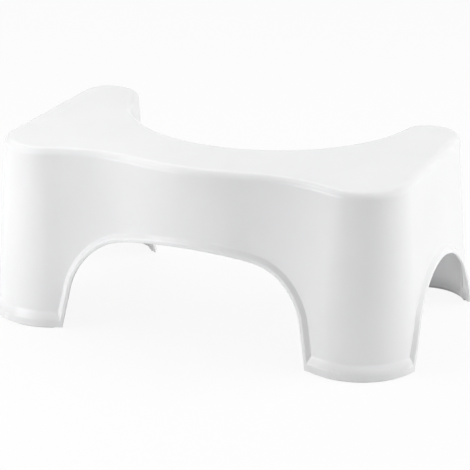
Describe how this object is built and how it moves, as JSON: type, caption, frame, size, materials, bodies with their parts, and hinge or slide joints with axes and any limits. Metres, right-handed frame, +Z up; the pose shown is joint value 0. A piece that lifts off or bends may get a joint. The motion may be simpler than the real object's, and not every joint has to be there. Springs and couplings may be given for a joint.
{
  "type": "toilet footstool",
  "caption": "Moulded white plastic toilet footstool: waved front, arched walls, hollow legs and a round recess at the back for the toilet pan, on rubber grip strips.",
  "frame": {"origin": "on the floor under the middle of the stool", "axes": "+X to the right along the front, +Y from the front to the recess at the back, +Z up"},
  "size_m": [0.4224, 0.2482, 0.17],
  "materials": {
    "white_polypropylene": "gloss",
    "grip_rubber": "matt"
  },
  "bodies": {
    "root": {"shell": "white_polypropylene", "front_left_grip_strip": "grip_rubber", "front_right_grip_strip": "grip_rubber", "rear_left_grip_strip": "grip_rubber", "rear_right_grip_strip": "grip_rubber"}
  },
  "joints": []
}
